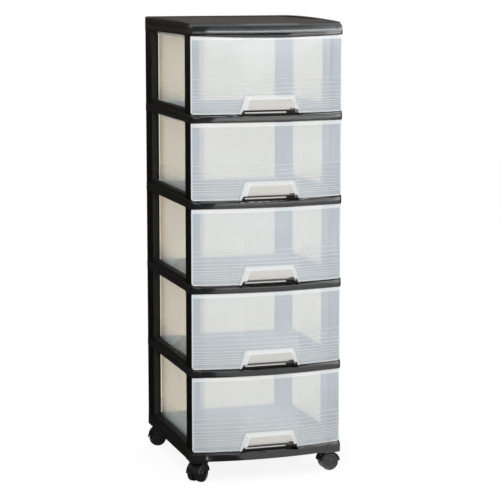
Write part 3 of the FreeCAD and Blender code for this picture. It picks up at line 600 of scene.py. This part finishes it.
def drawer_clear():
    """Milky plastic: bluish where it scatters, warm where light passes, whiter where thick; painted shade and glow
    in the pull's mouth, a partly painted highlight on its top.
    """
    drawer = settings().drawer
    tree = Finish("drawer_clear")
    part = drawer_parts(tree)
    fine = tree.noise(0.8 * MM, 2.0, 0.5)
    flow = tree.noise(90 * MM, 2.0, 0.5, tree.stretched(0.35, 0.35, 1.0))

    veil = drawer.box_veil + part.plate * (drawer.veil - drawer.box_veil)
    veil = (veil + part.base * (drawer.floor_veil - drawer.box_veil)) * (0.88 + flow * 0.24)
    veil = veil + part.thick * (drawer.hem_veil - drawer.veil) + part.low_side * LOW_SIDE_VEIL
    veil = veil + part.face * (FACE_VEIL - veil)
    veil = veil + part.gloom * (MOUTH_SHADE_VEIL - veil)

    shade = tree.mixed(flow, rgba(drawer.colour, 0.97), rgba(drawer.colour, 1.03))
    shade = tree.mixed(part.side, shade, SIDE_TINT)
    shade = tree.mixed(part.thick * 0.8, shade, THICK_WHITE)
    shade = tree.mixed(tree.most(part.face, part.base * 0.7), shade, FLAT_WHITE)
    # Painted shade in the mouth under the pull hood
    shade = tree.mixed(part.gloom, shade, MOUTH_PAINTED_SHADE)

    # The ledge glows from its colour: painted light, though it is no lamp
    plastic = tree.principled(
        Base_Color=shade, Roughness=0.26 + fine * 0.08, IOR=1.46,
        Normal=tree.bump(flow, 0.5 * MM, 0.4, tree.bump(fine, 0.012 * MM, 0.5)),
        Emission_Color=tree.mixed(part.ledge, NO_GLOW, LEDGE_PAINTED_GLOW), Emission_Strength=1.0)
    clear = tree.add("ShaderNodeBsdfTransparent", None, {"Color": rgba(drawer.warmth)})
    return tree.end(tree.add("ShaderNodeMixShader", None, {0: veil, 1: clear, 2: plastic}))


MAKERS = {maker.__name__: maker for maker in (
    frame_black, front_black, cover_black, caster_black, wheel_black, zinc_steel, drawer_clear)}
FINISHES = {}


def finish(name):
    """The material of that name, made on its first use."""
    if name not in FINISHES:
        FINISHES[name] = MAKERS[name]()
    return FINISHES[name]


# Places in the frame


def drawer_nodes(tier):
    return ["drawer_box_%d" % tier, "drawer_front_%d" % tier]


def drawer_span(tier):
    """Lowest and highest corner of one drawer."""
    boxes = [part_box(node) for node in drawer_nodes(tier)]
    low = Vector(min(box[0][axis] for box in boxes) for axis in range(3))
    high = Vector(max(box[1][axis] for box in boxes) for axis in range(3))
    return low, high


def bow_of_front(tier=1):
    """Radius of the bowed front of a drawer, and the y of its middle behind the tower."""
    radius = (BOW_HALF * BOW_HALF + BOW_RISE * BOW_RISE) / (2.0 * BOW_RISE)
    return radius, drawer_span(tier)[0].y + HOOD_PROUD + radius


def out_of_bow(x, y):
    """How far a place lies outside the bowed drawer fronts."""
    radius, centre = bow_of_front()
    return (x * x + (y - centre) * (y - centre)).root() - radius


def body_of_node(node):
    for body, nodes in frame["record"]["behaviour"]["bodies"].items():
        if node in nodes:
            return body
    raise RuntimeError("no body holds " + node)


# Pieces from the frame's nodes


def clean_copy(nodes):
    """The nodes' solids as one bmesh: triangles joined at their corners."""
    shape = bmesh.new()
    for node in nodes:
        shape.from_mesh(frame["nodes"][node].data)
    bmesh.ops.remove_doubles(shape, verts=shape.verts, dist=WELD)
    return shape


def open_seam(shape):
    """Where two nodes of one moulding meet face to face, take the shared faces out."""
    places = {}
    for face in shape.faces:
        place = tuple(round(value / (2.0 * WELD)) for value in face.calc_center_median())
        places.setdefault(place, []).append(face)
    twins = [face for group in places.values() if len(group) > 1 for face in group]
    bmesh.ops.delete(shape, geom=twins, context="FACES")


def square_corners(shape):
    """Tighten the rounding of a drawer's two rear corners."""
    for vert in shape.verts:
        side = math.copysign(1.0, vert.co.x)
        away = Vector((vert.co.x - side * REAR_CORNER[0], vert.co.y - REAR_CORNER[1]))
        outward = away.x * side >= 0.0 and away.y >= 0.0
        if outward and away.length > CORNER_TIGHTER * 1.2:
            away = away * (1.0 - CORNER_TIGHTER / away.length)
            vert.co.x = side * (REAR_CORNER[0] + CORNER_TIGHTER) + away.x
            vert.co.y = REAR_CORNER[1] + CORNER_TIGHTER + away.y


def mark_edges(shape, angle, edge, width, wide=None):
    """Give the sharp edges their share of the widest rounding; wide gives the creases theirs."""
    layer = shape.edges.layers.float.new("bevel_weight_edge")
    for line in shape.edges:
        if len(line.link_faces) != 2:
            continue
        turn = line.calc_face_angle(0.0)
        share = wide(line, turn) if wide else 0.0
        if share > 0.0:
            line[layer] = share
        elif turn > angle:
            line[layer] = edge / width


def make_piece(name, shape, finish_name, edge=0.0, segments=2):
    """An object from a bmesh, with its marked edges rounded and its shading smooth."""
    mesh = bpy.data.meshes.new(name)
    shape.to_mesh(mesh)
    shape.free()
    piece = bpy.data.objects.new(name, mesh)
    bpy.context.scene.collection.objects.link(piece)
    mesh.polygons.foreach_set("use_smooth", [True] * len(mesh.polygons))
    if edge > 0.0:
        bevel = piece.modifiers.new("rounding", "BEVEL")
        bevel.limit_method = "WEIGHT"
        bevel.width = edge
        bevel.segments = segments
        bevel.use_clamp_overlap = False
        bevel.loop_slide = False
        bevel.harden_normals = True
        settle(piece)
    piece.data.set_sharp_from_angle(angle=SHARP_ANGLE)
    piece.data.materials.clear()
    piece.data.materials.append(finish(finish_name))
    return piece


def settle(piece):
    """Turn the piece's modifiers into plain mesh."""
    graph = bpy.context.evaluated_depsgraph_get()
    done = bpy.data.meshes.new_from_object(piece.evaluated_get(graph), depsgraph=graph)
    piece.modifiers.clear()
    piece.data = done


def place_piece(piece, body, nodes=()):
    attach(piece, body)
    if nodes:
        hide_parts(*nodes)


def bar_crease(name, least):
    """Tells which creases of a bar run along its bowed front, and how round each is."""
    radius, centre = bow_of_front()
    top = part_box(name)[1].z

    def share(line, turn):
        one, other = (vert.co for vert in line.verts)
        if turn < CREASE_ANGLE or abs(one.z - other.z) > CREASE_FALL or one.y > CREASE_Y:
            return 0.0
        reach = min(math.hypot(spot.x, spot.y - centre) for spot in (one, other))
        side = max(abs(one.x), abs(other.x))
        if reach < radius + CREASE_OUT or side > CREASE_END:
            return 0.0
        fade = max(least, min(1.0, (CREASE_END - side) / CREASE_FADE))
        upper = top - max(one.z, other.z) < UPPER_TALL
        return fade * (UPPER_SHARE if upper else LOWER_SHARE)

    return share


class TOWER_OT_mouldings(Operator):
    """Base, shelf frames, side frames and top cover with rounded edges"""
    bl_idname = "tower.mouldings"
    bl_label = "Frame mouldings"

    def execute(self, context):
        edge = settings().moulding.edge
        bar_edge = settings().moulding.bar_edge
        tiers = range(1, TIERS + 1)
        sides = ["%s_side_frame_%d" % (side, tier) for side in SIDES for tier in tiers]
        bars = ["base_frame"] + ["shelf_frame_%d" % number for number in range(1, TIERS)]
        looks = dict.fromkeys(sides, "frame_black")
        looks.update(dict.fromkeys(bars, "front_black"))
        looks["top_cover"] = "cover_black"
        for name, black in looks.items():
            wide = bar_crease(name, edge / bar_edge) if name in bars else None
            shape = clean_copy([name])
            mark_edges(shape, FRAME_ANGLE, edge, bar_edge, wide)
            piece = make_piece("moulding_" + name, shape, black, bar_edge, 3)
            place_piece(piece, "frame", [name])
        return {"FINISHED"}


class TOWER_OT_drawers(Operator):
    """Translucent drawers, each one moulding with its hem, rim lip and pull hood"""
    bl_idname = "tower.drawers"
    bl_label = "Drawers"

    def execute(self, context):
        edge = settings().drawer.edge
        for tier in range(1, TIERS + 1):
            nodes = drawer_nodes(tier)
            shape = clean_copy(nodes)
            open_seam(shape)
            square_corners(shape)
            mark_edges(shape, PART_ANGLE, edge, edge)
            piece = make_piece("drawer_%d_tub" % tier, shape, "drawer_clear", edge)
            place_piece(piece, "drawer_%d" % tier, nodes)
        return {"FINISHED"}


# Ribs of the drawer fronts


def rib_tree():
    """Rows of fine ribs that follow the bowed front and stop at the pull hood."""
    group = bpy.data.node_groups.new("front_ribs", "GeometryNodeTree")
    kinds = {"Rows": "NodeSocketInt", "Finish": "NodeSocketMaterial"}
    for name in ("Rows", "Lowest", "Highest", "Growth", "Bow radius", "Bow centre",
                 "Half width", "Rib radius", "Hood foot", "Hood slant", "Hood low",
                 "Hood top", "Finish"):
        group.interface.new_socket(
            name, in_out="INPUT", socket_type=kinds.get(name, "NodeSocketFloat"))
    group.interface.new_socket("Ribs", in_out="OUTPUT", socket_type="NodeSocketGeometry")
    tree = Tree(group)
    given = tree.add("NodeGroupInput")

    def value(name):
        return tree.also(given, name)

    # One point for each rib, at its height
    index = tree.add("GeometryNodeInputIndex")
    rows = tree.add("GeometryNodeMeshLine", {"mode": "OFFSET"}, {
        "Count": value("Rows"), "Offset": (0.0, 0.0, 0.0)})
    growth = value("Growth")
    share = (1.0 - growth ** index) / (1.0 - growth ** (value("Rows") - 1.0))
    height = value("Lowest") + (value("Highest") - value("Lowest")) * share
    rows = tree.add("GeometryNodeSetPosition", None, {
        "Geometry": rows, "Position": tree.joined(z=height)})

    # A bowed line across the front, put on each of these points
    step = value("Half width") / (RIB_STEPS / 2)
    across = tree.add("GeometryNodeMeshLine", {"mode": "OFFSET"}, {
        "Count": RIB_STEPS + 1, "Offset": tree.joined(x=step)})
    spot_x, _, spot_z = tree.split(tree.add("GeometryNodeInputPosition"))
    x = spot_x - value("Half width")
    radius = value("Bow radius")
    bow = value("Bow centre") - (radius * radius - x * x).root()
    across = tree.add("GeometryNodeSetPosition", None, {
        "Geometry": across, "Position": tree.joined(x=x, y=bow)})
    lines = tree.add("GeometryNodeInstanceOnPoints", None, {"Points": rows, "Instance": across})
    lines = tree.add("GeometryNodeRealizeInstances", None, {"Geometry": lines})

    # The lines' parts under the hood go, and the others become round ribs
    hood = value("Hood foot") - (spot_z - value("Hood low")) * value("Hood slant")
    hidden = abs(spot_x).below(hood) * spot_z.below(value("Hood top"))
    lines = tree.add("GeometryNodeDeleteGeometry", {"domain": "POINT"}, {
        "Geometry": lines, "Selection": hidden})
    lines = tree.add("GeometryNodeMeshToCurve", None, {"Mesh": lines})
    ring = tree.add("GeometryNodeCurvePrimitiveCircle", {"mode": "RADIUS"}, {
        "Resolution": 8, "Radius": value("Rib radius")})
    ribs = tree.add("GeometryNodeCurveToMesh", None, {
        "Curve": lines, "Profile Curve": ring, "Fill Caps": True})
    ribs = tree.add("GeometryNodeSetMaterial", None, {
        "Geometry": ribs, "Material": value("Finish")})
    tree.add("NodeGroupOutput", None, {0: ribs})
    return group


def grow(name, group, values):
    """A plain mesh object from a geometry tree and its named inputs."""
    piece = bpy.data.objects.new(name, bpy.data.meshes.new(name))
    bpy.context.scene.collection.objects.link(piece)
    modifier = piece.modifiers.new("grow", "NODES")
    modifier.node_group = group
    for item in group.interface.items_tree:
        if item.item_type == "SOCKET" and item.in_out == "INPUT":
            modifier[item.identifier] = values[item.name]
    settle(piece)
    return piece


class TOWER_OT_ribs(Operator):
    """Fine horizontal ribs across the bowed drawer fronts"""
    bl_idname = "tower.ribs"
    bl_label = "Front ribs"

    def execute(self, context):
        drawer = settings().drawer
        group = rib_tree()
        for tier in range(1, TIERS + 1):
            low, high = drawer_span(tier)
            tall = high.z - low.z
            radius, centre = bow_of_front(tier)
            piece = grow("drawer_%d_ribs" % tier, group, {
                "Rows": drawer.rib_count,
                "Lowest": low.z + tall * RIB_ROWS[0],
                "Highest": low.z + tall * RIB_ROWS[1],
                "Growth": RIB_GROWTH,
                "Bow radius": radius - (drawer.rib_radius - drawer.rib_proud),
                "Bow centre": centre,
                "Half width": high.x - RIB_INSET,
                "Rib radius": drawer.rib_radius,
                "Hood foot": HOOD_FOOT,
                "Hood slant": HOOD_SLANT,
                "Hood low": low.z,
                "Hood top": low.z + HOOD_TALL,
                "Finish": finish("drawer_clear")})
            mesh = piece.data
            mesh.polygons.foreach_set("use_smooth", [True] * len(mesh.polygons))
            mesh.set_sharp_from_angle(angle=RIB_SHARP_ANGLE)
            place_piece(piece, "drawer_%d" % tier)
        return {"FINISHED"}


# Casters


def rounded_profile(corners):
    """Points (along, radius) of a turned profile, its inner corners rounded by their reach."""
    path = [corners[0][:2]]
    for before, here, after in zip(corners, corners[1:], corners[2:]):
        corner = Vector(here[:2])
        back = Vector(before[:2]) - corner
        on = Vector(after[:2]) - corner
        start = corner + back.normalized() * min(here[2], back.length / 2)
        end = corner + on.normalized() * min(here[2], on.length / 2)
        for step in range(ROUND_STEPS + 1):
            t = step / ROUND_STEPS
            path.append(tuple((1 - t) ** 2 * start + 2 * t * (1 - t) * corner + t * t * end))
    path.append(corners[-1][:2])
    return path


def lathe(profile, centre, axis):
    """A turned solid from points (along, radius), of which the first and last lie on the axis."""
    axis = Vector(axis).normalized()
    side = axis.cross(Vector((0.0, 0.0, 1.0))).normalized()
    up = side.cross(axis)
    shape = bmesh.new()
    rings = []
    for along, radius in profile:
        middle = centre + axis * along
        ring = []
        for step in range(WHEEL_STEPS if radius > 0.0 else 1):
            turn = 2.0 * math.pi * step / WHEEL_STEPS
            spot = side * math.cos(turn) * radius + up * math.sin(turn) * radius
            ring.append(shape.verts.new(middle + spot))
        rings.append(ring)
    for one, other in zip(rings, rings[1:]):
        for step in range(WHEEL_STEPS):
            after = (step + 1) % WHEEL_STEPS
            if len(one) == 1:
                shape.faces.new((one[0], other[after], other[step]))
            elif len(other) == 1:
                shape.faces.new((one[step], one[after], other[0]))
            else:
                shape.faces.new((one[step], one[after], other[after], other[step]))
    bmesh.ops.recalc_face_normals(shape, faces=shape.faces)
    return shape


def add_part(kind, corner, finish_name, edge):
    """A caster's housing, axle or stem."""
    node = "caster_%s_%s" % (kind, corner)
    shape = clean_copy([node])
    mark_edges(shape, PART_ANGLE, edge, edge)
    piece = make_piece("%s_%s" % (kind, corner), shape, finish_name, edge, 3)
    place_piece(piece, body_of_node(node), [node])


def add_wheel(corner, hand, roll):
    """A turned wheel on the side of the caster where its solid is."""
    node = "caster_wheel_%s_%s" % (corner, hand)
    centre = Vector(roll["pos_m"])
    axis = Vector(roll["axis"])
    low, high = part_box(node)
    sign = 1.0 if ((low + high) / 2 - centre).dot(axis) > 0 else -1.0
    shape = lathe(rounded_profile(WHEEL), centre, axis * sign)
    piece = make_piece("wheel_%s_%s" % (corner, hand), shape, "wheel_black")
    place_piece(piece, body_of_node(node), [node])


class TOWER_OT_casters(Operator):
    """Housings, wheels, axles and stems of the four twin-wheel casters"""
    bl_idname = "tower.casters"
    bl_label = "Casters"

    def execute(self, context):
        joints = {joint["name"]: joint for joint in frame["joints"]}
        for corner in CORNERS:
            add_part("housing", corner, "caster_black", settings().caster.edge)
            add_part("axle", corner, "zinc_steel", STEEL_EDGE)
            add_part("stem", corner, "zinc_steel", STEEL_EDGE)
            for hand in "ab":
                add_wheel(corner, hand, joints["roll_" + corner])
        return {"FINISHED"}


# Stage


def seen_directly(tree):
    """1 for rays that show the background: camera, glossy and transmission rays."""
    ray = tree.add("ShaderNodeLightPath", out="Is Camera Ray")
    return tree.most(ray, tree.also(ray, "Is Glossy Ray"), tree.also(ray, "Is Transmission Ray"))


def glow_of(tree, colour, strength):
    return tree.add("ShaderNodeEmission", None, {"Color": rgba(colour), "Strength": strength})


def floor_finish():
    """White floor that looks lit by itself where it is seen."""
    tree = Finish("floor_white")
    grain = tree.noise(3 * MM, 2.0, 0.5)
    shade = tree.mixed(grain, rgba(WHITE, 0.80), rgba(WHITE, 0.84))
    matt = tree.principled(Base_Color=shade, Roughness=0.9)
    return tree.end(tree.add("ShaderNodeMixShader", None, {
        0: seen_directly(tree) * FLOOR_SHARE, 1: matt, 2: glow_of(tree, WHITE, FLOOR_GLOW)}))


def card_finish(name, colour, glow):
    """Matt card, or a glowing one."""
    tree = Finish(name)
    if glow > 0.0:
        return tree.end(glow_of(tree, colour, glow))
    fibre = tree.noise(2 * MM, 3.0, 0.6)
    shade = tree.mixed(fibre, rgba(colour, 0.8), rgba(colour, 1.2))
    return tree.end(tree.principled(Base_Color=shade, Roughness=0.95))


def plain_object(name, shape, material):
    """An object from a bmesh, as it is."""
    mesh = bpy.data.meshes.new(name)
    shape.to_mesh(mesh)
    shape.free()
    mesh.materials.append(material)
    thing = bpy.data.objects.new(name, mesh)
    bpy.context.scene.collection.objects.link(thing)
    return thing


def add_floor():
    shape = bmesh.new()
    bmesh.ops.create_grid(shape, x_segments=8, y_segments=8, size=FLOOR_HALF)
    floor = plain_object("floor", shape, floor_finish())


def card_ring(name, colour, radii, heights, azimuths, glow=0.0):
    """Card seen by the gloss alone: a ring from one azimuth to another, 0 being the front."""
    start, end = azimuths
    shape = bmesh.new()
    rows = []
    for step in range(CARD_STEPS + 1):
        turn = math.radians(start + (end - start) * step / CARD_STEPS)
        way = Vector((math.sin(turn), -math.cos(turn), 0.0))
        rows.append([shape.verts.new(way * radius + Vector((0.0, 0.0, height)))
                     for radius, height in zip(radii, heights)])
    for one, other in zip(rows, rows[1:]):
        shape.faces.new((one[0], one[1], other[1], other[0]))
    ring = plain_object(name, shape, card_finish(name, colour, glow))
    ring.visible_camera = False
    ring.visible_diffuse = False
    ring.visible_transmission = False
    ring.visible_shadow = False


def add_cards(stage):
    """Dark surroundings for the gloss, and the glowing strips that draw its lines."""
    card_ring("card_wall", CARD_BLACK, (1.5, 1.5), (0.0, 1.06), (62.0, 352.0))
    card_ring("card_floor", CARD_BLACK, (0.02, 1.5), (0.002, 0.002), (62.0, 352.0))
    card_ring("card_grey", CARD_GREY, (1.5, 1.5), (1.06, 2.1), (62.0, 342.0))
    card_ring("card_roof", CARD_BLACK, (1.5, 1.5), (1.42, 3.2), (-18.0, 62.0))
    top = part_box("top_cover")[1].z
    near = (0.6, 0.6)
    card_ring("card_line", CARD_BLACK, near, (top - 0.09, top + 0.075), (-18.0, 24.0))
    card_ring("card_glow", WHITE, near, (top + 0.075, top + 0.135), (-17.6, 70.0), stage.strip)
    card_ring("card_haze", HAZE, near, (top + 0.135, top + 0.23), (-17.6, 70.0), HAZE_GLOW)
    card_ring("card_dawn", WHITE, (5.5, 5.5), (0.0, 1.0), (-40.0, 80.0), stage.dawn)


def add_room(stage):
    """Even light, with a white background where it is seen."""
    world = bpy.data.worlds.new("studio")
    world.use_nodes = True
    bpy.context.scene.world = world
    tree = Tree(world.node_tree)
    tree.tree.nodes.clear()
    strength = stage.sky + seen_directly(tree) * (1.0 - stage.sky)
    air = tree.add("ShaderNodeBackground", None, {"Color": rgba(WHITE), "Strength": strength})
    tree.add("ShaderNodeOutputWorld", None, {"Surface": air})


def area_light(name, place, target, size, power):
    light = bpy.data.lights.new(name, "AREA")
    light.shape = "RECTANGLE"
    light.size, light.size_y = size
    light.energy = power
    lamp = bpy.data.objects.new(name, light)
    lamp.location = place
    way = Vector(target) - Vector(place)
    lamp.rotation_euler = way.to_track_quat("-Z", "Y").to_euler()
    bpy.context.scene.collection.objects.link(lamp)


def add_camera(stage):
    lens = bpy.data.cameras.new("camera")
    lens.lens = stage.lens
    lens.sensor_width = SENSOR_WIDTH
    lens.clip_end = VIEW_END
    camera = bpy.data.objects.new("camera", lens)
    camera.location = CAMERA_PLACE
    camera.rotation_euler = CAMERA_TURN
    scene = bpy.context.scene
    scene.collection.objects.link(camera)
    scene.camera = camera
    scene.view_settings.view_transform = "Standard"


class TOWER_OT_stage(Operator):
    """White floor and room, soft studio lights, cards that only the gloss sees, camera"""
    bl_idname = "tower.stage"
    bl_label = "Stage"

    def execute(self, context):
        stage = settings().stage
        add_floor()
        add_cards(stage)
        add_room(stage)
        area_light("key", *KEY, stage.key)
        area_light("fill", *FILL, stage.fill)
        add_camera(stage)
        return {"FINISHED"}


# Add-on


class TOWER_PT_panel(Panel):
    """Lists the steps and the sizes of the tower"""
    bl_idname = "TOWER_PT_panel"
    bl_label = "Drawer tower"
    bl_space_type = "VIEW_3D"
    bl_region_type = "UI"
    bl_category = "Drawer tower"

    def draw(self, context):
        layout = self.layout
        for step in STEPS:
            layout.operator(step.bl_idname)
        for name in TowerSettings.__annotations__:
            group = getattr(settings(), name)
            box = layout.box()
            box.label(text=name.capitalize())
            for field in group.__annotations__:
                box.prop(group, field)


STEPS = (TOWER_OT_mouldings, TOWER_OT_drawers, TOWER_OT_ribs, TOWER_OT_casters, TOWER_OT_stage)
GROUPS = (MouldingSettings, DrawerSettings, CasterSettings, StageSettings, TowerSettings)
CLASSES = GROUPS + STEPS + (TOWER_PT_panel,)


def register():
    for item in CLASSES:
        bpy.utils.register_class(item)
    bpy.types.Scene.tower_settings = PointerProperty(type=TowerSettings)


def unregister():
    del bpy.types.Scene.tower_settings
    for item in reversed(CLASSES):
        bpy.utils.unregister_class(item)


def main():
    register()
    bpy.ops.tower.mouldings()
    bpy.ops.tower.drawers()
    bpy.ops.tower.ribs()
    bpy.ops.tower.casters()
    bpy.ops.tower.stage()


if __name__ == "__main__":
    main()
